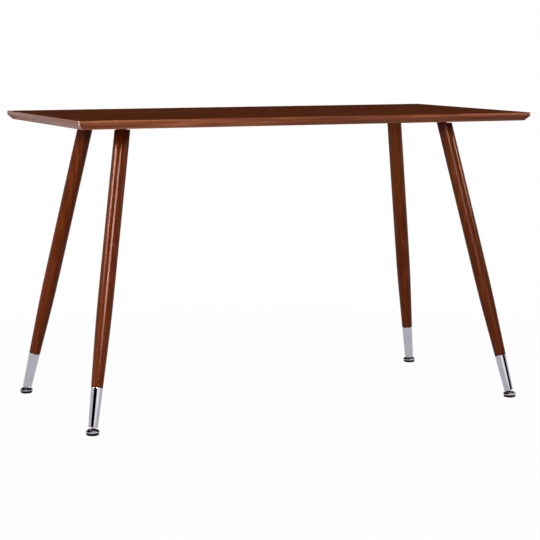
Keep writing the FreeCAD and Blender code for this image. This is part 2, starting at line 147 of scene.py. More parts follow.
class Patch:
    """Adds nodes to one node tree and wires them together."""

    def __init__(self, tree: NodeTree) -> None:
        """Starts on the node tree of a material, a world or a group."""
        self.tree = tree

    @classmethod
    def blank(cls, owner: Material | World) -> "Patch":
        """Starts on the tree of a material or a world, once its own nodes are out.

        Args:
            owner: The material or the world.

        Returns:
            The patch.
        """
        owner.use_nodes = True
        owner.node_tree.nodes.clear()
        return cls(owner.node_tree)

    def feed(self, node: Node, sockets: Mapping | None) -> None:
        """Sets a node's inputs.

        Args:
            node: The node.
            sockets: What each input gets, by name or number: an output to wire to it, or a value.
        """
        for name, value in (sockets or {}).items():
            socket = node.inputs[name]
            if isinstance(value, NodeSocket):
                self.tree.links.new(value, socket)
            else:
                socket.default_value = (*value, 1.0) if socket.type == "RGBA" else value

    def node(self, kind: str, sockets: Mapping | None = None, **settings: object) -> Node:
        """Adds a node.

        Args:
            kind: The node's type, without its ShaderNode prefix.
            sockets: What each input gets.
            settings: The node's own settings.

        Returns:
            The new node.
        """
        made = self.tree.nodes.new(f"ShaderNode{kind}")
        for name, setting in settings.items():
            setattr(made, name, setting)
        self.feed(made, sockets)
        return made

    def math(self, operation: str, first: object, second: object = 0.0,
             clamp: bool = False) -> NodeSocket:
        """Works out one number from two, which may be outputs, and can keep it from 0 to 1."""
        made = self.node("Math", {0: first, 1: second}, operation=operation, use_clamp=clamp)
        return made.outputs[0]

    def remap(self, value: object, source: Sequence[float], target: Sequence[float] = (0.0, 1.0),
              smooth: bool = False) -> NodeSocket:
        """Maps one range of numbers onto another.

        Args:
            value: The number, or an output.
            source: The range it comes from.
            target: The range it goes to.
            smooth: Whether it eases in and out.

        Returns:
            The mapped number.
        """
        sockets = {"Value": value, "From Min": source[0], "From Max": source[1],
                   "To Min": target[0], "To Max": target[1]}
        kind = "SMOOTHSTEP" if smooth else "LINEAR"
        return self.node("MapRange", sockets, interpolation_type=kind).outputs[0]

    def blend(self, share: object, first: object, second: object, mode: str = "MIX") -> NodeSocket:
        """Lays a share of the second colour over the first, in one of the Mix node's modes."""
        sockets = {0: share, MIX_FIRST: first, MIX_SECOND: second}
        return self.node("Mix", sockets, data_type="RGBA", blend_type=mode).outputs[MIX_RESULT]

    def bump(self, height: NodeSocket, depth: float) -> NodeSocket:
        """Turns a height into a normal, where a height of 1 stands for the depth."""
        return self.node("Bump", {"Height": height, "Distance": depth, "Strength": 1.0}).outputs[0]


class ShaderGroup:
    """A node group that several materials use, built once, with its sockets' names and kinds."""

    name: str = ""
    inputs: dict[str, str] = {}
    outputs: dict[str, str] = {}

    def wire(self, patch: Patch, given: Sockets) -> Sockets:
        """Builds the group's inside between its inputs and its outputs."""
        raise NotImplementedError

    def tree(self) -> NodeTree:
        """Makes the group's tree on the first call.

        Returns:
            The tree.
        """
        made = bpy.data.node_groups.get(self.name)
        if made:
            return made
        made = bpy.data.node_groups.new(self.name, "ShaderNodeTree")
        for way, sockets in (("INPUT", self.inputs), ("OUTPUT", self.outputs)):
            for name, kind in sockets.items():
                made.interface.new_socket(name, in_out=way, socket_type=f"NodeSocket{kind}")
        entry = made.nodes.new("NodeGroupInput")
        leave = made.nodes.new("NodeGroupOutput")
        patch = Patch(made)
        patch.feed(leave, self.wire(patch, entry.outputs))
        return made

    def use(self, patch: Patch, sockets: Mapping) -> Sockets:
        """Places the group in a material, feeds its inputs and gives its outputs by name."""
        return patch.node("Group", sockets, node_tree=self.tree()).outputs


class GrainLayer(Enum):
    """Layers of noise in the grain: lumps a metre along and across it, detail, and roughness."""

    RINGS = (0.9, 7.0, 2.2, 0.42)
    FIBRE = (7.0, 620.0, 3.0, 0.6)
    STREAK = (2.2, 120.0, 3.0, 0.55)
    TONE = (1.4, 16.0, 2.0, 0.5)
    PORES = (45.0, 1500.0, 1.0, 0.5)

    def noise(self, patch: Patch, place: NodeSocket) -> NodeSocket:
        """Reads the layer.

        Args:
            patch: The group's own patch.
            place: The place on the grain, which runs along X.

        Returns:
            Soft random values, around a half.
        """
        along, across, detail, roughness = self.value
        scaled = patch.node("VectorMath", {0: place, 1: (along, across, across)},
                            operation="MULTIPLY")
        sockets = {"Vector": scaled.outputs[0], "Scale": 1.0, "Detail": detail,
                   "Roughness": roughness}
        return patch.node("TexNoise", sockets).outputs[0]


class WoodGrain(ShaderGroup):
    """Printed wood grain. The grain runs along the place's X axis."""

    name = "wood_grain"
    inputs = {
        "Place": "Vector", "Deep": "Color", "Body": "Color", "Glow": "Color",
        "Ring Count": "Float", "Ring Strength": "Float", "Fibre Strength": "Float",
        "Patch Strength": "Float",
    }
    outputs = {"Color": "Color", "Height": "Float", "Dullness": "Float"}

    pore_band = (0.60, 0.70)
    glow_band = (0.62, 1.15)
    noise_middle = 0.5
    fibre_part = 0.6
    streak_part = 1.4
    pore_tint = 0.5
    fibre_rise = 0.4
    pore_dip = 0.6
    dull_part = 0.5

    def wire(self, patch: Patch, given: Sockets) -> Sockets:
        """Growth rings as contours of a stretched field, with fibres, pores and broad patches.

        Args:
            patch: The group's own patch.
            given: Its inputs by name.

        Returns:
            Its outputs by name.
        """
        place = given["Place"]
        rings, fibre, streak, tone, pores = (layer.noise(patch, place) for layer in GrainLayer)
        wave = patch.math("SINE", patch.math("MULTIPLY", rings, given["Ring Count"]))
        ring = patch.remap(wave, (-1.0, 1.0), (-0.5, 0.5))
        pore = patch.remap(pores, self.pore_band, smooth=True)
        lift = patch.math("MULTIPLY", ring, given["Ring Strength"])
        grain = patch.math("ADD", patch.math("MULTIPLY", fibre, self.fibre_part),
                           patch.math("MULTIPLY", streak, self.streak_part))
        middle = self.noise_middle * (self.fibre_part + self.streak_part)
        grain = patch.math("SUBTRACT", grain, middle)
        grain = patch.math("MULTIPLY", grain, given["Fibre Strength"])
        broad = patch.math("SUBTRACT", tone, self.noise_middle)
        broad = patch.math("MULTIPLY", broad, given["Patch Strength"])
        even = patch.math("ADD", broad, self.noise_middle)
        share = patch.math("ADD", patch.math("ADD", lift, grain), even, clamp=True)
        colour = patch.blend(share, given["Deep"], given["Body"])
        glow_share = patch.remap(patch.math("ADD", share, broad), self.glow_band, smooth=True)
        colour = patch.blend(glow_share, colour, given["Glow"])
        tint = patch.math("MULTIPLY", pore, self.pore_tint)
        height = patch.math("SUBTRACT", patch.math("MULTIPLY", fibre, self.fibre_rise),
                            patch.math("MULTIPLY", pore, self.pore_dip))
        dullness = patch.math("ADD", patch.math("MULTIPLY", pore, self.dull_part),
                              patch.math("MULTIPLY", fibre, self.dull_part), clamp=True)
        return {
            "Color": patch.blend(tint, colour, given["Deep"], mode="MULTIPLY"),
            "Height": height,
            "Dullness": dullness,
        }


class FineTexture(ShaderGroup):
    """Orange peel or a moulded grain, with soft smudges and hair-fine scratches."""

    name = "fine_texture"
    inputs = {"Place": "Vector", "Peel Scale": "Float", "Smudge Scale": "Float",
              "Scratch Scale": "Float"}
    outputs = {"Peel": "Float", "Smudge": "Float", "Scratch": "Float"}

    peel_detail = 2.0
    smudge_detail = 4.0
    bend_detail = 1.0
    bend_scale = 25.0
    bend = 0.012
    scratch_width = 0.012
    scratch_band = (0.52, 0.62)

    def wire(self, patch: Patch, given: Sockets) -> Sockets:
        """Noise for peel and smudges, and the bent edges of cells for scratches.

        Args:
            patch: The group's own patch.
            given: Its inputs by name.

        Returns:
            Its outputs by name.
        """
        place = given["Place"]
        peel, smudge, bent = (
            patch.node("TexNoise", {"Vector": place, "Scale": scale, "Detail": detail}).outputs
            for scale, detail in ((given["Peel Scale"], self.peel_detail),
                                  (given["Smudge Scale"], self.smudge_detail),
                                  (self.bend_scale, self.bend_detail))
        )
        bends = {0: bent["Color"], 1: (self.bend,) * 3, 2: place}
        shifted = patch.node("VectorMath", bends, operation="MULTIPLY_ADD").outputs[0]
        cells = patch.node("TexVoronoi", {"Vector": shifted, "Scale": given["Scratch Scale"]},
                           feature="DISTANCE_TO_EDGE")
        line = patch.remap(cells.outputs["Distance"], (0.0, self.scratch_width), (1.0, 0.0))
        thin = patch.remap(smudge[0], self.scratch_band, smooth=True)
        scratch = patch.math("MULTIPLY", line, thin)
        return {"Peel": peel[0], "Smudge": smudge[0], "Scratch": scratch}


WOOD_GRAIN = WoodGrain()
FINE_TEXTURE = FineTexture()


# Finishes


@dataclass(frozen=True)
class Finish:
    """A surface finish: its material's name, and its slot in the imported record."""

    name: str
    slot: str

    def shade(self, patch: Patch, shader: Node) -> None:
        """Wires the finish into its shader."""
        raise NotImplementedError

    def material(self) -> Material:
        """Makes the finish's material on the first call.

        Returns:
            The material.
        """
        made = bpy.data.materials.get(self.name)
        if made:
            return made
        made = bpy.data.materials.new(self.name)
        made.use_nodes = True
        self.shade(Patch(made.node_tree), made.node_tree.nodes["Principled BSDF"])
        return made


@dataclass(frozen=True)
class Fade:
    """A stretch along the grain over which the colour turns to another; the legs use it for a dark
    joint line, and for painted shade and painted light near their tops.
    """

    span: Pair
    shares: Pair
    colour: Colour


@dataclass(frozen=True)
class WoodFinish(Finish):
    """Wood-grain film under clear lacquer.

    Its shine is the roughness of bare film and of open pores, and depth is the grain's relief.
    """

    deep: Colour
    body: Colour
    glow: Colour
    rings: float = 60.0
    ring_strength: float = 0.35
    fibre_strength: float = 0.8
    patch_strength: float = 0.8
    shine: Pair = (0.32, 0.48)
    specular: float = 0.5
    coat: float = 0.0
    depth: float = 0.00004
    fades: tuple[Fade, ...] = ()

    def shade(self, patch: Patch, shader: Node) -> None:
        """Reads the grain's place from the piece, and changes the colour along it for a dark joint
        line, painted shade and painted light.

        Args:
            patch: The material's patch.
            shader: The material's Principled shader.
        """
        place = patch.node("Attribute", attribute_name=GRAIN_PLACE).outputs["Vector"]
        grain = WOOD_GRAIN.use(patch, {
            "Place": place,
            "Deep": self.deep,
            "Body": self.body,
            "Glow": self.glow,
            "Ring Count": self.rings,
            "Ring Strength": self.ring_strength,
            "Fibre Strength": self.fibre_strength,
            "Patch Strength": self.patch_strength,
        })
        colour = grain["Color"]
        for fade in self.fades:
            along = patch.node("SeparateXYZ", {0: place}).outputs[0]
            share = patch.remap(along, fade.span, fade.shares, smooth=True)
            colour = patch.blend(share, colour, fade.colour)
        patch.feed(shader, {
            "Base Color": colour,
            "Roughness": patch.remap(grain["Dullness"], (0.0, 1.0), self.shine),
            "Specular IOR Level": self.specular,
            "Coat Weight": self.coat,
            "Coat Roughness": self.shine[1],
        })
        if self.depth:
            patch.feed(shader, {"Normal": patch.bump(grain["Height"], self.depth)})


@dataclass(frozen=True)
class CoatedFinish(Finish):
    """Painted, plated or moulded: one colour with a fine texture, smudges and scratches.

    Its shine is the roughness where it is clean and where it is smudged.
    """

    colour: Colour
    smudged: Colour
    metallic: float = 0.0
    shine: Pair = (0.35, 0.5)
    scratch_shine: float = 0.15
    peel_scale: float = 900.0
    smudge_scale: float = 30.0
    scratch_scale: float = 220.0
    smudge_band: Pair = (0.35, 0.65)
    depth: float = 0.00002
    specular: float = 0.5

    def shade(self, patch: Patch, shader: Node) -> None:
        """Wires one colour with its texture, on the piece's own coordinates.

        Args:
            patch: The material's patch.
            shader: The material's Principled shader.
        """
        texture = FINE_TEXTURE.use(patch, {
            "Place": patch.node("TexCoord").outputs["Object"],
            "Peel Scale": self.peel_scale,
            "Smudge Scale": self.smudge_scale,
            "Scratch Scale": self.scratch_scale,
        })
        smudge = patch.remap(texture["Smudge"], self.smudge_band, smooth=True)
        roughness = patch.remap(smudge, (0.0, 1.0), self.shine)
        scratched = patch.math("MULTIPLY", texture["Scratch"], self.scratch_shine)
        patch.feed(shader, {
            "Base Color": patch.blend(smudge, self.colour, self.smudged),
            "Roughness": patch.math("ADD", roughness, scratched, clamp=True),
            "Normal": patch.bump(texture["Peel"], self.depth),
            "Metallic": self.metallic,
            "Specular IOR Level": self.specular,
        })


class Finishes:
    """The table's finishes."""

    # The face and the edge share one decor: the face's darker colour is partly painted shade, and
    # the edge's lighter colour is partly painted light.
    PANEL_FACE = WoodFinish(
        "panel_face_wood", "wood_finish_panel",
        deep=(0.048, 0.011, 0.0036), body=(0.103, 0.0265, 0.0108), glow=(0.15, 0.047, 0.021),
        rings=70.0, ring_strength=0.25, patch_strength=0.45, shine=(0.28, 0.36),
        specular=0.0, coat=0.008,
    )
    # Edge wood, lightened with painted light for the lit front edge.
    PANEL_EDGE = WoodFinish(
        "panel_edge_wood", "wood_finish_panel",
        deep=(0.14, 0.036, 0.017), body=(0.27, 0.082, 0.036), glow=(0.41, 0.142, 0.066),
        rings=90.0, ring_strength=0.4, fibre_strength=2.0, patch_strength=0.1, shine=(0.26, 0.36),
        specular=0.04,
    )
    # Paler, pinker copy of the edge wood: painted sheen and painted light on the panel's ends.
    PANEL_END = WoodFinish(
        "panel_end_wood", "wood_finish_panel",
        deep=(0.22, 0.107, 0.082), body=(0.31, 0.152, 0.119), glow=(0.40, 0.205, 0.16),
        rings=40.0, ring_strength=0.3, fibre_strength=1.2, patch_strength=0.1, shine=(0.24, 0.32),
        specular=0.025,
    )
    # Pale cream corners: partly a light joint line, partly a painted highlight on the rounded
    # corner arrises.
    PANEL_CORNER = WoodFinish(
        "panel_corner_joint", "wood_finish_panel",
        deep=(0.78, 0.62, 0.52), body=(0.95, 0.82, 0.72), glow=(0.97, 0.88, 0.80),
        rings=40.0, ring_strength=0.2, shine=(0.1, 0.2), specular=0.4,
    )
    DARK_JOINT = Fade((0.104, 0.107), (0.9, 0.0), (0.004, 0.002, 0.002))
    # Painted shade: the legs darken just below the panel, where it shades them.
    DARK_TOP = Fade((0.66, 0.706), (0.0, 0.8), (0.03, 0.0015, 0.001))
    # Painted light: lifts the colour towards a leg's top, against the panel's shade.
    PAINTED_LIGHT_TOP = Fade((0.42, 0.55), (0.0, 0.2), (0.26, 0.07, 0.016))
    # Leg wood with a dark joint line and painted shade at the top.
    LEG = WoodFinish(
        "leg_wood", "wood_finish_leg",
        deep=(0.085, 0.013, 0.0015), body=(0.145, 0.028, 0.0055), glow=(0.20, 0.05, 0.011),
        rings=190.0, ring_strength=0.4, fibre_strength=1.0, patch_strength=0.12, shine=(0.14, 0.17),
        specular=0.05, depth=0.0, fades=(DARK_JOINT, DARK_TOP),
    )
    # Front right leg: a darker copy of the leg wood as painted shade, with painted light and
    # painted shade near its top.
    LEG_DEEP = replace(
        LEG, name="leg_wood_deep",
        deep=(0.069, 0.0105, 0.001), body=(0.118, 0.022, 0.0042), glow=(0.166, 0.04, 0.0085),
        fades=(DARK_JOINT, replace(PAINTED_LIGHT_TOP, shares=(0.0, 0.12)),
               replace(DARK_TOP, span=(0.69, 0.715))),
    )
    # Back right leg: painted light towards its top, without the painted shade.
    LEG_BRIGHT_TOP = replace(LEG, name="leg_wood_painted_light_top", fades=(DARK_JOINT, PAINTED_LIGHT_TOP))
    LEGS = {
        Corner.FRONT_LEFT: LEG,
        Corner.FRONT_RIGHT: LEG_DEEP,
        Corner.BACK_LEFT: LEG,
        Corner.BACK_RIGHT: LEG_BRIGHT_TOP,
    }
    CHROME = CoatedFinish(
        "polished_chrome", "chrome", (0.42, 0.41, 0.46), (0.39, 0.38, 0.42),
        metallic=1.0, shine=(0.02, 0.05), scratch_shine=0.12, peel_scale=120.0, depth=0.000001,
    )
    RAIL_PAINT = CoatedFinish(
        "rail_powder_coat", "rail_paint", (0.012, 0.011, 0.011), (0.018, 0.016, 0.016),
        peel_scale=1400.0, depth=0.00005,
    )
    PLATE_PAINT = CoatedFinish(
        "plate_powder_coat", "rail_paint", (0.014, 0.010, 0.009), (0.02, 0.014, 0.012),
        peel_scale=1300.0, depth=0.00004,
    )
    BLACK_PLASTIC = CoatedFinish(
        "black_moulded_plastic", "black_plastic", (0.004, 0.004, 0.004), (0.008, 0.008, 0.008),
        shine=(0.45, 0.6), peel_scale=2600.0, depth=0.00004, specular=0.03,
    )
    NYLON = CoatedFinish(
        "black_nylon", "nylon", (0.018, 0.018, 0.018), (0.026, 0.026, 0.026),
        shine=(0.5, 0.6), peel_scale=2200.0, depth=0.00003,
    )
    STUD_PLATING = CoatedFinish(
        "stud_plating", "chrome", (0.36, 0.38, 0.37), (0.31, 0.33, 0.32),
        metallic=1.0, shine=(0.2, 0.32), peel_scale=700.0, smudge_scale=90.0,
    )
    ZINC = replace(
        STUD_PLATING, name="zinc_plating", slot="zinc_steel",
        colour=(0.52, 0.53, 0.55), smudged=(0.44, 0.46, 0.50), shine=(0.28, 0.42),
    )
    BRASS = replace(
        STUD_PLATING, name="insert_brass", slot="insert_brass",
        colour=(0.66, 0.47, 0.20), smudged=(0.55, 0.38, 0.16), shine=(0.3, 0.45),
    )


# Meshes


class Outline:
    """A half section in the XZ plane, drawn from point to point and turned about Z.

    Each point is given as its distance from the axis and its height.
    """

    def __init__(self, first: Pair, *corners: Pair) -> None:
        """Starts the outline.

        Args:
            first: Its first point.
            corners: Points to draw straight sides to from there.
        """
        self.mesh = bmesh.new()
        self.first = self.last = self.mesh.verts.new((first[0], 0, first[1]))
        self.lines(*corners)

    def line(self, radius: float, height: float, steps: int = 1, guard: float = 0.0) -> None:
        """Draws a straight side.

        Args:
            radius: Its end's distance from the axis.
            height: Its end's height.
            steps: How many parts it has.
            guard: Distance of extra points from both ends, which keep a bend out of the shading.
        """
        start = self.last.co.copy()
        end = Vector((radius, 0, height))
        shares = [step / steps for step in range(1, steps + 1)]
        if guard:
            near = guard / (end - start).length
            shares = [near, *shares[:-1], 1 - near, 1.0]
        for share in shares:
            point = self.mesh.verts.new(start.lerp(end, share))
            self.mesh.edges.new((self.last, point))
            self.last = point

    def lines(self, *corners: Pair) -> None:
        """Draws straight sides from corner to corner."""
        for corner in corners:
            self.line(*corner)

    def arc(self, radius: float, height: float, bend: float, steps: int = 8) -> None:
        """Draws an arc of under half a turn.

        Args:
            radius: Its end's distance from the axis.
            height: Its end's height.
            bend: The arc's own radius, positive where its centre lies to the left of the way.
            steps: How many parts it has.
        """
        start = self.last.co.copy()
        end = Vector((radius, 0, height))
        chord = end - start
        left = Vector((-chord.z, 0, chord.x)).normalized()
        rise = math.sqrt(max(bend ** 2 - (chord.length / 2) ** 2, 0.0))
        centre = start + chord / 2 + left * math.copysign(rise, bend)
        sweep = math.copysign(2 * math.asin(min(chord.length / 2 / abs(bend), 1.0)), -bend)
        made = bmesh.ops.spin(self.mesh, geom=[self.last], cent=centre, axis=(0, 1, 0), angle=sweep,
                              steps=steps)
        self.last = next(part for part in made["geom_last"] if isinstance(part, BMVert))

    def turned(self, segments: int, closed: bool = True) -> BMesh:
        """Turns the outline into a round piece.

        Args:
            segments: How many facets it has all round.
            closed: Whether a last side joins the outline's ends, which otherwise lie on the axis.

        Returns:
            The piece's mesh, with its faces outwards.
        """
        mesh = self.mesh
        if closed:
            mesh.edges.new((self.last, self.first))
        bmesh.ops.spin(mesh, geom=[*mesh.verts, *mesh.edges], cent=(0, 0, 0), axis=(0, 0, 1),
                       angle=math.tau, steps=segments, use_merge=True)
        bmesh.ops.remove_doubles(mesh, verts=mesh.verts, dist=MERGE_DISTANCE)
        bmesh.ops.recalc_face_normals(mesh, faces=mesh.faces)
        return mesh


def add_object(mesh: BMesh, name: str, materials: Sequence[Material]) -> Object:
    """Makes an object of a mesh and puts it into the scene.

    Args:
        mesh: The mesh, which is freed.
        name: The object's name.
        materials: Its materials, in the order of the faces' material numbers.

    Returns:
        The new object.
    """
    data = bpy.data.meshes.new(name)
    mesh.to_mesh(data)
    mesh.free()
    for material in materials:
        data.materials.append(material)
    made = bpy.data.objects.new(name, data)
    bpy.context.scene.collection.objects.link(made)
    return made


def add_piece(mesh: BMesh, name: str, finishes: Sequence[Finish], body: str,
              replaces: str = "", sharp_angle: float = 32.0) -> None:
    """Makes a finished piece of a mesh that is already in place.

    Args:
        mesh: The piece's mesh, in the table's frame.
        name: The piece's name.
        finishes: Its finishes, in the order of the faces' material numbers.
        body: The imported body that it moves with.
        replaces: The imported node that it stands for.
        sharp_angle: Edges that turn by more than this many degrees stay crisp.
    """
    piece = add_object(mesh, name, [finish.material() for finish in finishes])
    piece.data.shade_smooth()
    piece.data.set_sharp_from_angle(angle=math.radians(sharp_angle))
    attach(piece, body)
    if replaces:
        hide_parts(replaces)
    log.info("%s: %d faces, rides on %s", name, len(piece.data.polygons), body)


def add_corner_piece(mesh: BMesh, corner: Corner, name: str, finish: Finish, node: str,
                     body: str | None = None) -> None:
    """Adds a piece that stands for its corner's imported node.

    Args:
        mesh: The piece's mesh, in the table's frame.
        corner: The piece's corner.
        name: The piece's name, without the corner.
        finish: Its finish.
        node: The node's name, without the corner.
        body: The moving body's name, without the corner. Without one the piece is static.
    """
    label = corner.label
    body = f"{body}_{label}" if body else STATIC_BODY
    add_piece(mesh, f"{name}_{label}", [finish], body, f"{node}_{label}")


# Sub-assemblies


NODE_FINISHES = {
    "cross_rail_": Finishes.RAIL_PAINT,
    "leg_top_plate_": Finishes.PLATE_PAINT,
    "foot_bush_": Finishes.NYLON,
    "rail_end_cap_": Finishes.BLACK_PLASTIC,
    "threaded_inserts": Finishes.BRASS,
    "rail_washers": Finishes.ZINC,
    "rail_screws": Finishes.ZINC,
}


class PanelSide(IntEnum):
    """Where a face of the panel lies, as the number of its finish."""

    FACE = 0
    EDGE = 1
    END = 2
    CORNER = 3


@dataclass(frozen=True)
class TablePanel:
    """The top: a square band along its edge, and a long bevel below that runs inwards.

    A face is level where its normal's Z is over level_from, and belongs to a corner where both
    other parts are over corner_from. The shifts keep the sides' grain apart.
    """

    band: float = 0.0093
    undercut: float = 0.0108
    arris: float = 0.001
    arris_steps: int = 4
    level_from: float = 0.8
    corner_from: float = 0.15
    face_shift: float = 0.2
    edge_shift: float = 0.5
    end_shift: float = 0.9

    def build(self) -> None:
        """Builds the panel as one closed block with rounded arrises."""
        mesh = bmesh.new()
        band_foot = LAYOUT.height - self.band
        spread = Matrix.Diagonal((LAYOUT.length, LAYOUT.width, self.band, 1))
        lift = Matrix.Translation((0, 0, band_foot + self.band / 2))
        bmesh.ops.create_cube(mesh, size=1, matrix=lift @ spread)
        lower = [face for face in mesh.faces if face.normal.z < -self.level_from]
        made = bmesh.ops.extrude_face_region(mesh, geom=lower)
        foot = [part for part in made["geom"] if isinstance(part, BMVert)]
        shrink_x = 1 - 2 * self.undercut / LAYOUT.length
        shrink_y = 1 - 2 * self.undercut / LAYOUT.width
        bmesh.ops.scale(mesh, vec=(shrink_x, shrink_y, 1), verts=foot)
        bmesh.ops.translate(mesh, vec=(0, 0, LAYOUT.underside - band_foot), verts=foot)
        bmesh.ops.delete(mesh, geom=[face for face in lower if face.is_valid], context="FACES_ONLY")
        bmesh.ops.recalc_face_normals(mesh, faces=mesh.faces)
        above = LAYOUT.underside + self.arris
        crisp = [edge for edge in mesh.edges if max(vert.co.z for vert in edge.verts) > above]
        bmesh.ops.bevel(mesh, geom=crisp, offset=self.arris, offset_type="OFFSET",
                        segments=self.arris_steps, profile=0.5, affect="EDGES", material=-1,
                        clamp_overlap=True)
        self.lay_grain(mesh)
        finishes = [Finishes.PANEL_FACE, Finishes.PANEL_EDGE, Finishes.PANEL_END,
                    Finishes.PANEL_CORNER]
        add_piece(mesh, "table_top_panel", finishes, STATIC_BODY, "table_top", sharp_angle=40.0)

    def lay_grain(self, mesh: BMesh) -> None:
        """Runs the grain along the top and along each edge, and gives the edges their band.

        Args:
            mesh: The panel's mesh.
        """
        layer = mesh.loops.layers.float_vector.new(GRAIN_PLACE)
        for face in mesh.faces:
            normal = face.normal
            level = abs(normal.z) > self.level_from
            along_x = abs(normal.y) > abs(normal.x)
            if level:
                face.material_index = PanelSide.FACE
            elif min(abs(normal.x), abs(normal.y)) > self.corner_from:
                face.material_index = PanelSide.CORNER
            else:
                face.material_index = PanelSide.EDGE if along_x else PanelSide.END
            for loop in face.loops:
                x, y, z = loop.vert.co
                depth = LAYOUT.height - z
                if level:
                    loop[layer] = Vector((x, y, math.copysign(self.face_shift, normal.z)))
                elif along_x:
                    loop[layer] = Vector((x, depth, math.copysign(self.edge_shift, normal.y)))
                else:
                    loop[layer] = Vector((y, depth, math.copysign(self.end_shift, normal.x)))


@dataclass(frozen=True)
class Leg:
    """One splayed leg: a steel tube in wood-grain film that tapers to a chrome ferrule.

    The tube is turned longer than the leg by the factor of spare_length, and cut off level.
    Each leg reads the grain at its own multiple of grain_shift.
    """

    corner: Corner
    radius: float = 0.019
    wall: float = 0.0012
    blend: float = 0.067
    spare_length: float = 1.08
    ferrule_tip: float = 0.010
    ferrule_length: float = 0.094
    ferrule_top_radius: float = 0.0143
    ferrule_tip_radius: float = 0.0116
    ferrule_wall: float = 0.0015
    ferrule_end_wall: float = 0.002
    ferrule_mouth: float = 0.0044
    spigot_length: float = 0.015
    spigot_gap: float = 0.00005
    edge: float = 0.0006
    joint_edge: float = 0.0002
    guard: float = 0.0003
    segments: int = 96
    grain_shift: float = 0.37

    @property
    def ferrule_top(self) -> float:
        """Height of the joint between tube and ferrule, up the leg from the ball."""
        return self.ferrule_tip + self.ferrule_length

    @property
    def taper_ratio(self) -> float:
        """How fast the leg's radius grows along its taper."""
        return (self.ferrule_top_radius - self.ferrule_tip_radius) / self.ferrule_length

    def build(self) -> None:
        """Builds the tube and the ferrule."""
        self.build_tube()
        self.build_ferrule()

    def build_tube(self) -> None:
        """Turns the tube and cuts its top level, where the plate and the rail lie on it."""
        ratio, inner = self.taper_ratio, self.radius - self.wall
        foot, foot_radius = self.ferrule_top, self.ferrule_top_radius
        taper = math.atan(ratio)
        bend = foot + (self.radius - foot_radius) / ratio
        curve = self.blend / math.tan(taper / 2)
        over = LAYOUT.leg_drop * self.spare_length
        low_height = bend - self.blend * math.cos(taper)
        low_drop = self.blend * math.sin(taper)
        edge = self.edge / 2
        outline = Outline((foot_radius - self.wall, foot), (foot_radius - edge, foot))
        outline.arc(foot_radius + edge * ratio, foot + edge, edge, steps=3)
        outline.line(self.radius - low_drop, low_height, steps=8, guard=self.guard)
        outline.arc(self.radius, bend + self.blend, curve, steps=24)
        outline.line(self.radius, over, steps=4)
        outline.lines((inner, over), (inner, bend + self.blend))
        outline.arc(inner - low_drop, low_height, -curve, steps=8)
        mesh = outline.turned(self.segments)
        grain = mesh.verts.layers.float_vector.new(GRAIN_PLACE)
        shift = self.grain_shift * (list(Corner).index(self.corner) + 1)
        for vert in mesh.verts:
            vert[grain] = Vector((vert.co.z, vert.co.x + shift, vert.co.y + shift))
        mesh.transform(LAYOUT.leg_frame(self.corner))
        rim = (0, 0, LAYOUT.underside - LAYOUT.rail_height)
        cut = bmesh.ops.bisect_plane(mesh, geom=[*mesh.verts, *mesh.edges, *mesh.faces],
                                     dist=MERGE_DISTANCE, plane_co=rim, plane_no=(0, 0, 1),
                                     clear_outer=True)
        rims = [part for part in cut["geom_cut"] if isinstance(part, BMEdge)]
        bmesh.ops.bridge_loops(mesh, edges=rims)
        bmesh.ops.recalc_face_normals(mesh, faces=mesh.faces)
        add_corner_piece(mesh, self.corner, "leg", Finishes.LEGS[self.corner], "leg_tube")

    def build_ferrule(self) -> None:
        """Turns the ferrule with its end wall and the spigot that goes up into the tube."""
        edge, joint, mouth, ratio = self.edge, self.joint_edge, self.ferrule_mouth, self.taper_ratio
        tip, top = self.ferrule_tip, self.ferrule_top
        tip_radius, top_radius = self.ferrule_tip_radius, self.ferrule_top_radius
        spigot = top_radius - self.wall - self.spigot_gap
        spigot_top = top + self.spigot_length
        bore_high = spigot - self.ferrule_wall
        bore_low = tip_radius - self.ferrule_wall
        seat = tip + self.ferrule_end_wall
        outline = Outline((mouth, tip), (tip_radius - edge, tip))
        outline.arc(tip_radius + edge * ratio, tip + edge, edge, steps=4)
        outline.line(top_radius - joint * ratio, top - joint, steps=8, guard=self.guard)
        outline.arc(top_radius - joint, top, joint, steps=3)
        outline.lines((spigot, top), (spigot, spigot_top), (bore_high, spigot_top),
                      (bore_high, top), (bore_low, seat), (mouth, seat))
        mesh = outline.turned(self.segments)
        mesh.transform(LAYOUT.leg_frame(self.corner))
        add_corner_piece(mesh, self.corner, "chrome_ferrule", Finishes.CHROME, "ferrule")


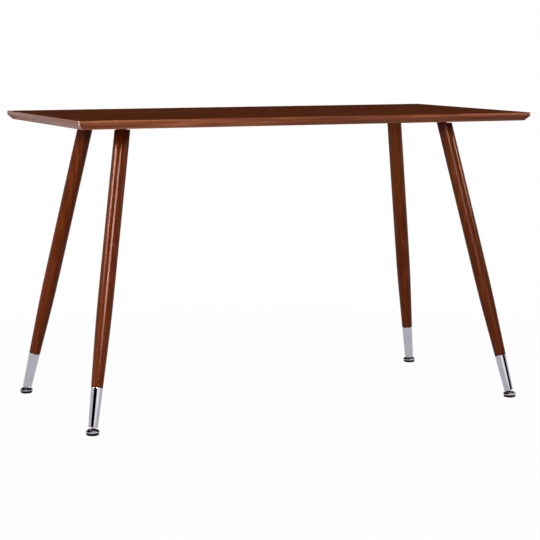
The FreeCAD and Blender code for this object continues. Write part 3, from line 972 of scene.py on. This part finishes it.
@dataclass(frozen=True)
class LevellingFoot:
    """A threaded stud whose ball sits in a moulded pad under a chrome cap.

    The thread's ridge has half widths of thread_foot and thread_crest times the pitch, and its
    inner side is sunk into the root by the factor of thread_sink. At its hole the crown is
    crown_fall times half the wall below the top, and goes into a round of round_ratio times that.
    """

    corner: Corner
    ball_radius: float = 0.005
    neck_radius: float = 0.003
    neck_length: float = 0.0094
    thread_radius: float = 0.004
    thread_root: float = 0.00338
    thread_pitch: float = 0.00125
    thread_lead: float = 0.0008
    thread_sink: float = 0.95
    thread_foot: float = 0.47
    thread_crest: float = 0.08
    stud_top: float = 0.0388
    pad_radius: float = 0.0155
    pad_curve: float = 0.0035
    pad_rim: float = 0.007
    groove_depth: float = 0.0006
    groove_edges: Pair = (0.0058, 0.0074)
    groove_floor: Pair = (0.0062, 0.0070)
    collar_radius: float = 0.0149
    collar_height: float = 0.0016
    boss_radius: float = 0.0085
    lip_rise: float = 0.0026
    socket_radius: float = 0.00505
    cap_radius: float = 0.017
    cap_rim_radius: float = 0.0162
    cap_rim_inner: float = 0.015
    cap_widest_rise: float = 0.0019
    cap_rim_curve: float = 0.003
    cap_height: float = 0.0152
    cap_crown_curve: float = 0.014
    cap_hole: float = 0.0062
    cap_wall: float = 0.001
    crown_fall: float = 0.04
    round_ratio: float = 1.01
    segments: int = 72
    thread_segments: int = 24

    def build(self) -> None:
        """Builds the stud, the pad and the cap."""
        leg, foot = LAYOUT.leg_frame(self.corner), LAYOUT.foot_frame(self.corner)
        for mesh, place, name, finish, node, body in (
            (self.stud(), leg, "stud", Finishes.STUD_PLATING, "levelling_stud", "stud"),
            (self.pad(), foot, "pad", Finishes.BLACK_PLASTIC, "foot_pad", "foot"),
            (self.cap(), foot, "cap", Finishes.CHROME, "foot_cap", "foot"),
        ):
            mesh.transform(place)
            add_corner_piece(mesh, self.corner, name, finish, node, body)

    def stud(self) -> BMesh:
        """Turns the stud and winds its thread.

        Returns:
            The mesh, in the leg's own frame.
        """
        ball, neck, root, top = self.ball_radius, self.neck_radius, self.thread_root, self.stud_top
        shoulder = self.neck_length + self.thread_lead
        chamfer = self.thread_lead / 2
        outline = Outline((0, -ball))
        outline.arc(neck, math.sqrt(ball ** 2 - neck ** 2), ball, steps=14)
        outline.lines((neck, self.neck_length), (root, shoulder), (root, top - chamfer),
                      (root - chamfer, top), (0, top))
        mesh = outline.turned(self.thread_segments, closed=False)
        self.wind_thread(mesh, shoulder, top - self.thread_lead)
        return mesh

    def wind_thread(self, mesh: BMesh, low: float, high: float) -> None:
        """Winds a closed ridge round the stud.

        Args:
            mesh: The stud's mesh, upright.
            low: Height at which the thread starts.
            high: Height at which it ends.
        """
        inside, outside = self.thread_root * self.thread_sink, self.thread_radius
        foot, crest = self.thread_pitch * self.thread_foot, self.thread_pitch * self.thread_crest
        corners = [(inside, -foot), (outside, -crest), (outside, crest), (inside, foot)]
        turns = (high - low - 2 * foot) / self.thread_pitch
        steps = round(turns * self.thread_segments)
        verts = [mesh.verts.new((across, 0, low + foot + up)) for across, up in corners]
        start = mesh.faces.new(verts)
        rise = Vector((0, 0, turns * self.thread_pitch / steps))
        bmesh.ops.spin(mesh, geom=[*verts, *start.edges, start], cent=(0, 0, 0), axis=(0, 0, 1),
                       dvec=rise, angle=math.tau * turns, steps=steps)
        bmesh.ops.recalc_face_normals(mesh, faces=mesh.faces)

    def pad(self) -> BMesh:
        """Turns the pad: a rounded sole with a ring groove, and a boss whose lip holds the ball.

        Returns:
            The mesh, in the foot's own frame.
        """
        curve, rim, socket = self.pad_curve, self.pad_rim, self.socket_radius
        collar = self.collar_radius
        lip = LAYOUT.ball_height + self.lip_rise
        lip_radius = math.sqrt(socket ** 2 - self.lip_rise ** 2)
        (inner, outer), (floor_inner, floor_outer) = self.groove_edges, self.groove_floor
        outline = Outline((0, 0), (inner, 0), (floor_inner, self.groove_depth),
                          (floor_outer, self.groove_depth), (outer, 0),
                          (self.pad_radius - curve, 0))
        outline.arc(self.pad_radius, curve, curve, steps=8)
        outline.lines((self.pad_radius, rim), (collar, rim), (collar, rim + self.collar_height),
                      (self.boss_radius, lip), (lip_radius, lip))
        outline.arc(0, LAYOUT.ball_height - socket, -socket, steps=12)
        return outline.turned(self.segments, closed=False)

    def cap(self) -> BMesh:
        """Turns the cap: a rolled rim and a crown with a hole for the neck.

        Returns:
            The mesh, in the foot's own frame.
        """
        rim, wall, top, hole = self.pad_rim, self.cap_wall, self.cap_height, self.cap_hole
        widest = rim + self.cap_widest_rise
        edge = wall / 2
        outline = Outline((self.cap_rim_inner, rim), (self.cap_rim_radius, rim))
        outline.arc(self.cap_radius, widest, self.cap_rim_curve, steps=8)
        outline.arc(hole + edge, top - edge * self.crown_fall, self.cap_crown_curve, steps=20)
        outline.arc(hole, top - edge, edge * self.round_ratio, steps=4)
        outline.line(hole, top - wall)
        outline.arc(self.cap_radius - wall, widest, -(self.cap_crown_curve - wall), steps=16)
        outline.line(self.cap_rim_inner, widest - wall)
        return outline.turned(self.segments)


@dataclass(frozen=True)
class Underframe:
    """The rails with their plugs, plates and fasteners, and the welds at the legs."""

    rail_setback: float = 0.0033
    plug_flange: float = 0.0015
    bead_length: float = 0.012
    bead_radius: float = 0.0017
    bead_end: float = 0.35
    ripple: float = 0.0016
    ripple_depth: float = 0.16
    rings_per_ripple: int = 6
    bead_segments: int = 14

    def dress(self) -> None:
        """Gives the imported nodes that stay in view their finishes."""
        for name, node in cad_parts.items():
            for start, finish in NODE_FINISHES.items():
                if name.startswith(start):
                    for slot in node.material_slots:
                        slot.material = finish.material()
                    log.info("%s: packed node in %s", name, finish.name)

    def build_welds(self, corner: Corner) -> None:
        """Lays a bead on each side of a rail, where it stands on the leg's top plate.

        Args:
            corner: The leg's corner.
        """
        mesh = bmesh.new()
        side_x, side_y = corner.value
        foot = LAYOUT.underside - LAYOUT.rail_height
        leg_y = (LAYOUT.width / 2 - LAYOUT.leg_inset
                 + LAYOUT.rail_height * LAYOUT.side_run / LAYOUT.leg_drop)
        y = leg_y - self.rail_setback - self.plug_flange - self.bead_length
        for edge in (-1, 1):
            x = (LAYOUT.length / 2 - LAYOUT.leg_inset) * side_x + LAYOUT.rail_width / 2 * edge
            self.lay_bead(mesh, Vector((x, y * side_y, foot)), side_y)
        bmesh.ops.recalc_face_normals(mesh, faces=mesh.faces)
        add_piece(mesh, f"rail_welds_{corner.label}", [Finishes.RAIL_PAINT], STATIC_BODY,
                  sharp_angle=75.0)

    def lay_bead(self, mesh: BMesh, start: Vector, way: int) -> None:
        """Draws out a ring in small rippled steps.

        Args:
            mesh: The mesh that the bead goes into.
            start: Where the bead begins.
            way: 1 where it runs towards +Y, and -1 where it runs towards -Y.
        """
        turn = Matrix.Translation(start) @ Matrix.Rotation(math.pi / 2, 4, "X")
        size = self.bead_end
        made = bmesh.ops.create_circle(mesh, cap_ends=True, segments=self.bead_segments,
                                       radius=self.bead_radius * size, matrix=turn)
        ring = made["verts"]
        steps = round(self.bead_length / self.ripple) * self.rings_per_ripple
        move = Vector((0, way * self.bead_length / steps, 0))
        for step in range(1, steps + 1):
            edges = {edge for vert in ring for edge in vert.link_edges
                     if all(end in ring for end in edge.verts)}
            made = bmesh.ops.extrude_edge_only(mesh, edges=list(edges))
            ring = [part for part in made["geom"] if isinstance(part, BMVert)]
            phase = math.pi * step / self.rings_per_ripple
            swell = min(1.0, self.bead_end + min(step, steps - step) / self.rings_per_ripple)
            new_size = swell * (1 - self.ripple_depth * abs(math.cos(phase)))
            bmesh.ops.translate(mesh, vec=move, verts=ring)
            space = Matrix.Translation(-(start + move * step))
            growth = new_size / size
            bmesh.ops.scale(mesh, vec=(growth, 1, growth), verts=ring, space=space)
            size = new_size
        bmesh.ops.contextual_create(mesh, geom=[edge for edge in mesh.edges if edge.is_boundary])


# Studio


def facing(place: Point, aim: Point, axis: str) -> Matrix:
    """Gives the matrix that stands a thing at a place, with one of its own axes to the aim."""
    turn = (Vector(aim) - Vector(place)).to_track_quat(axis, "Y").to_matrix().to_4x4()
    return Matrix.Translation(place) @ turn


@dataclass(frozen=True)
class Lamp:
    """A soft rectangular lamp that points at the table and doesn't show in reflections."""

    name: str
    place: Point
    aim: Point
    width: float
    height: float
    watts: float

    def build(self) -> None:
        """Hangs the lamp."""
        data = bpy.data.lights.new(self.name, "AREA")
        data.shape = "RECTANGLE"
        data.size, data.size_y = self.width, self.height
        data.energy = self.watts
        lamp = bpy.data.objects.new(self.name, data)
        lamp.matrix_world = facing(self.place, self.aim, "-Z")
        lamp.visible_glossy = False
        bpy.context.scene.collection.objects.link(lamp)


@dataclass(frozen=True)
class Card:
    """A card beside the table that only shows in reflections, dark or lit."""

    name: str
    place: Point
    height: float
    strength: float = 0.0
    colour: Colour = WHITE

    def shape(self) -> BMesh:
        """Lays out the card's mesh, in the table's frame."""
        raise NotImplementedError

    def glow(self, patch: Patch) -> object:
        """How strongly the card shines: a number, or the output that holds it."""
        return self.strength

    def build(self) -> None:
        """Stands the card up."""
        material = bpy.data.materials.new(self.name)
        patch = Patch.blank(material)
        emission = patch.node("Emission", {"Color": self.colour, "Strength": self.glow(patch)})
        patch.node("OutputMaterial", {"Surface": emission.outputs[0]})
        card = add_object(self.shape(), self.name, [material])
        card.visible_camera = card.visible_diffuse = card.visible_shadow = False


@dataclass(frozen=True, kw_only=True)
class FlatCard(Card):
    """A flat card. Its glow may fade out between two heights, with a tail down to the floor."""

    aim: Point
    width: float
    fade: Pair | None = None
    tail: float = 0.0
    tail_height: float = 1.3

    def shape(self) -> BMesh:
        """Lays out the flat card, turned to what it faces.

        Returns:
            The mesh, in the table's frame.
        """
        mesh = bmesh.new()
        bmesh.ops.create_grid(mesh, x_segments=1, y_segments=1, size=0.5)
        bmesh.ops.scale(mesh, vec=(self.width, self.height, 1), verts=mesh.verts)
        mesh.transform(facing(self.place, self.aim, "Z"))
        return mesh

    def glow(self, patch: Patch) -> object:
        """Lets the glow fade towards the floor.

        Args:
            patch: The patch of the card's material.

        Returns:
            A number, or the output that holds it.
        """
        if not self.fade:
            return self.strength
        place = patch.node("TexCoord").outputs["Object"]
        height = patch.node("SeparateXYZ", {0: place}).outputs[2]
        main = patch.remap(height, self.fade, smooth=True)
        tail = patch.remap(height, (0.0, self.tail_height), (0.0, self.tail))
        share = patch.math("ADD", main, tail, clamp=True)
        return patch.math("MULTIPLY", share, self.strength)


@dataclass(frozen=True, kw_only=True)
class ArcCard(Card):
    """A card bent round an upright axis over its place, from one bearing in degrees to another."""

    bearings: Pair
    radius: float = 0.5
    steps: int = 24

    def shape(self) -> BMesh:
        """Turns an upright edge about the axis.

        Returns:
            The mesh, in the table's frame.
        """
        mesh = bmesh.new()
        start, stop = (math.radians(bearing) for bearing in self.bearings)
        middle = Vector(self.place)
        out = Vector((math.cos(start), math.sin(start), 0)) * self.radius
        rise = Vector((0, 0, self.height / 2))
        low = mesh.verts.new(middle + out - rise)
        high = mesh.verts.new(middle + out + rise)
        side = mesh.edges.new((low, high))
        bmesh.ops.spin(mesh, geom=[low, high, side], cent=middle, axis=(0, 0, 1),
                       angle=stop - start, steps=self.steps)
        return mesh


STRIP_COLOUR = (1.0, 0.76, 0.68)
WARM_STRIP_COLOUR = (1.0, 0.54, 0.4)
LEFT_FERRULE = (-0.565, -0.274, 0.17)
RIGHT_FERRULE = (0.565, -0.274, 0.115)


@dataclass(frozen=True)
class Studio:
    """White floor and surroundings, soft lamps, cards and the camera.

    The flat cards stand for the room, the strips draw the streaks on the legs, and the arcs
    draw the stripes on the front ferrules.
    """

    camera_place: Point = (-1.87304, -4.26465, 0.93961)
    camera_yaw: float = 0.415545
    camera_pitch: float = -0.130431
    camera_roll: float = 0.000999
    focal_pixels: float = 1814.46
    picture_pixels: float = 540.0
    sensor: float = 36.0
    view_reach: float = 100.0
    floor_radius: float = 30.0
    floor_colour: Colour = (0.22, 0.22, 0.22)
    surround: float = 0.3
    shadow_reach: Pair = (0.9, 2.2)
    shadow_share: float = 0.985
    lamps: tuple[Lamp, ...] = (
        Lamp("front_lamp", (-1.16, -4.1, 0.8), (0.0, 0.0, 0.6), 1.4, 1.2, 95.0),
        Lamp("left_lamp", (-3.17, -0.7, 0.8), (-0.3, 0.0, 0.6), 1.1, 0.9, 50.0),
        Lamp("right_lamp", (2.6, -2.3, 1.2), (0.3, 0.0, 0.7), 0.9, 0.9, 14.0),
        Lamp("back_lamp", (1.2, 4.0, 1.3), (0.0, 0.0, 0.6), 1.4, 1.4, 55.0),
        Lamp("overhead_lamp", (0.0, 0.2, 3.2), (0.0, 0.0, 0.7), 2.4, 1.6, 41.0),
    )
    cards: tuple[Card, ...] = (
        FlatCard("back_card", (2.2, 2.6, 1.8), 3.6, 0.02, aim=(2.2, 0.0, 1.8), width=5.8),
        FlatCard("high_left_card", (-2.5, 2.6, 2.7), 2.2, 0.02, aim=(-2.5, 0.0, 2.7), width=3.6),
        FlatCard("ceiling_card", (0.0, 1.2, 2.7), 3.4, aim=(0.0, 1.2, 0.0), width=7.0),
        FlatCard("left_strip", (-3.17, -0.3, 1.0), 1.58, 115.0, STRIP_COLOUR,
                 aim=(-0.5, -0.2, 1.0), width=1.36, fade=(1.05, 1.75), tail=0.03),
        FlatCard("front_strip", (-1.36, -4.1, 1.25), 2.3, 100.0, STRIP_COLOUR,
                 aim=(-0.3, -0.2, 1.25), width=1.75, fade=(1.2, 1.85), tail=0.27),
        FlatCard("right_strip", (2.97, -1.86, 1.4), 0.7, 80.0, WARM_STRIP_COLOUR,
                 aim=(0.48, -0.18, 1.4), width=0.95, fade=(1.1, 1.3)),
        ArcCard("left_side_card", LEFT_FERRULE, 0.20, 1.1, bearings=(-200.0, -166.0)),
        ArcCard("left_dark_card", LEFT_FERRULE, 0.20, bearings=(-166.0, -98.5)),
        ArcCard("left_white_card", LEFT_FERRULE, 0.20, 1.75, bearings=(-98.5, -45.0)),
        ArcCard("right_dark_card", RIGHT_FERRULE, 0.19, bearings=(-78.5, -23.0)),
        ArcCard("right_white_card", RIGHT_FERRULE, 0.19, 1.75, bearings=(-122.0, -78.5)),
    )

    def build(self) -> None:
        """Sets up everything around the table."""
        bpy.context.scene.view_settings.view_transform = "Standard"
        self.build_world()
        self.build_floor()
        for thing in (*self.lamps, *self.cards):
            thing.build()
        self.build_camera()

    def seen_white(self, patch: Patch) -> NodeSocket:
        """Finds the rays that see the background: the camera's, and those off or through a piece.

        Args:
            patch: The patch of a material or the world.

        Returns:
            The output that is 1 for such a ray, and otherwise 0.
        """
        path = patch.node("LightPath").outputs
        seen = patch.math("MAXIMUM", path["Is Camera Ray"], path["Is Glossy Ray"])
        return patch.math("MAXIMUM", seen, path["Is Transmission Ray"])

    def build_world(self) -> None:
        """White to look at, and a plain grey light on everything else."""
        world = bpy.data.worlds.new("studio")
        bpy.context.scene.world = world
        patch = Patch.blank(world)
        plain = patch.node("Background", {"Color": WHITE, "Strength": self.surround})
        white = patch.node("Background", {"Color": WHITE, "Strength": 1.0})
        both = patch.node("MixShader", {0: self.seen_white(patch), 1: plain.outputs[0],
                                        2: white.outputs[0]})
        patch.node("OutputWorld", {"Surface": both.outputs[0]})

    def build_floor(self) -> None:
        """A pale floor that melts into the white surroundings but keeps a trace of shadow."""
        mesh = bmesh.new()
        bmesh.ops.create_circle(mesh, cap_ends=True, segments=64, radius=self.floor_radius)
        material = bpy.data.materials.new("pale_floor")
        patch = Patch.blank(material)
        lit = patch.node("BsdfDiffuse", {"Color": self.floor_colour})
        white = patch.node("Emission", {"Color": WHITE, "Strength": 1.0})
        place = patch.node("TexCoord").outputs["Object"]
        away = patch.node("VectorMath", {0: place}, operation="LENGTH").outputs["Value"]
        white_share = patch.remap(away, self.shadow_reach, (self.shadow_share, 1.0), smooth=True)
        share = patch.math("MULTIPLY", self.seen_white(patch), white_share)
        both = patch.node("MixShader", {0: share, 1: lit.outputs[0], 2: white.outputs[0]})
        patch.node("OutputMaterial", {"Surface": both.outputs[0]})
        add_object(mesh, "floor", [material])

    def build_camera(self) -> None:
        """Puts the camera at the photograph's viewpoint."""
        data = bpy.data.cameras.new("camera")
        data.sensor_width = self.sensor
        data.lens = self.focal_pixels / self.picture_pixels * self.sensor
        data.clip_end = self.view_reach
        camera = bpy.data.objects.new("camera", data)
        camera.matrix_world = (Matrix.Translation(self.camera_place)
                               @ Matrix.Rotation(-self.camera_yaw, 4, "Z")
                               @ Matrix.Rotation(math.pi / 2 + self.camera_pitch, 4, "X")
                               @ Matrix.Rotation(self.camera_roll, 4, "Z"))
        bpy.context.scene.collection.objects.link(camera)
        bpy.context.scene.camera = camera


def write_sizes() -> None:
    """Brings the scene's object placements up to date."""
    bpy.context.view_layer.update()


def main() -> None:
    """Builds the table and the studio around it, piece by piece."""
    logging.basicConfig(level=logging.INFO, format="%(message)s")
    Studio().build()
    TablePanel().build()
    underframe = Underframe()
    underframe.dress()
    for corner in Corner:
        underframe.build_welds(corner)
    for corner in Corner:
        Leg(corner).build()
        LevellingFoot(corner).build()
    write_sizes()


if __name__ == "__main__":
    main()
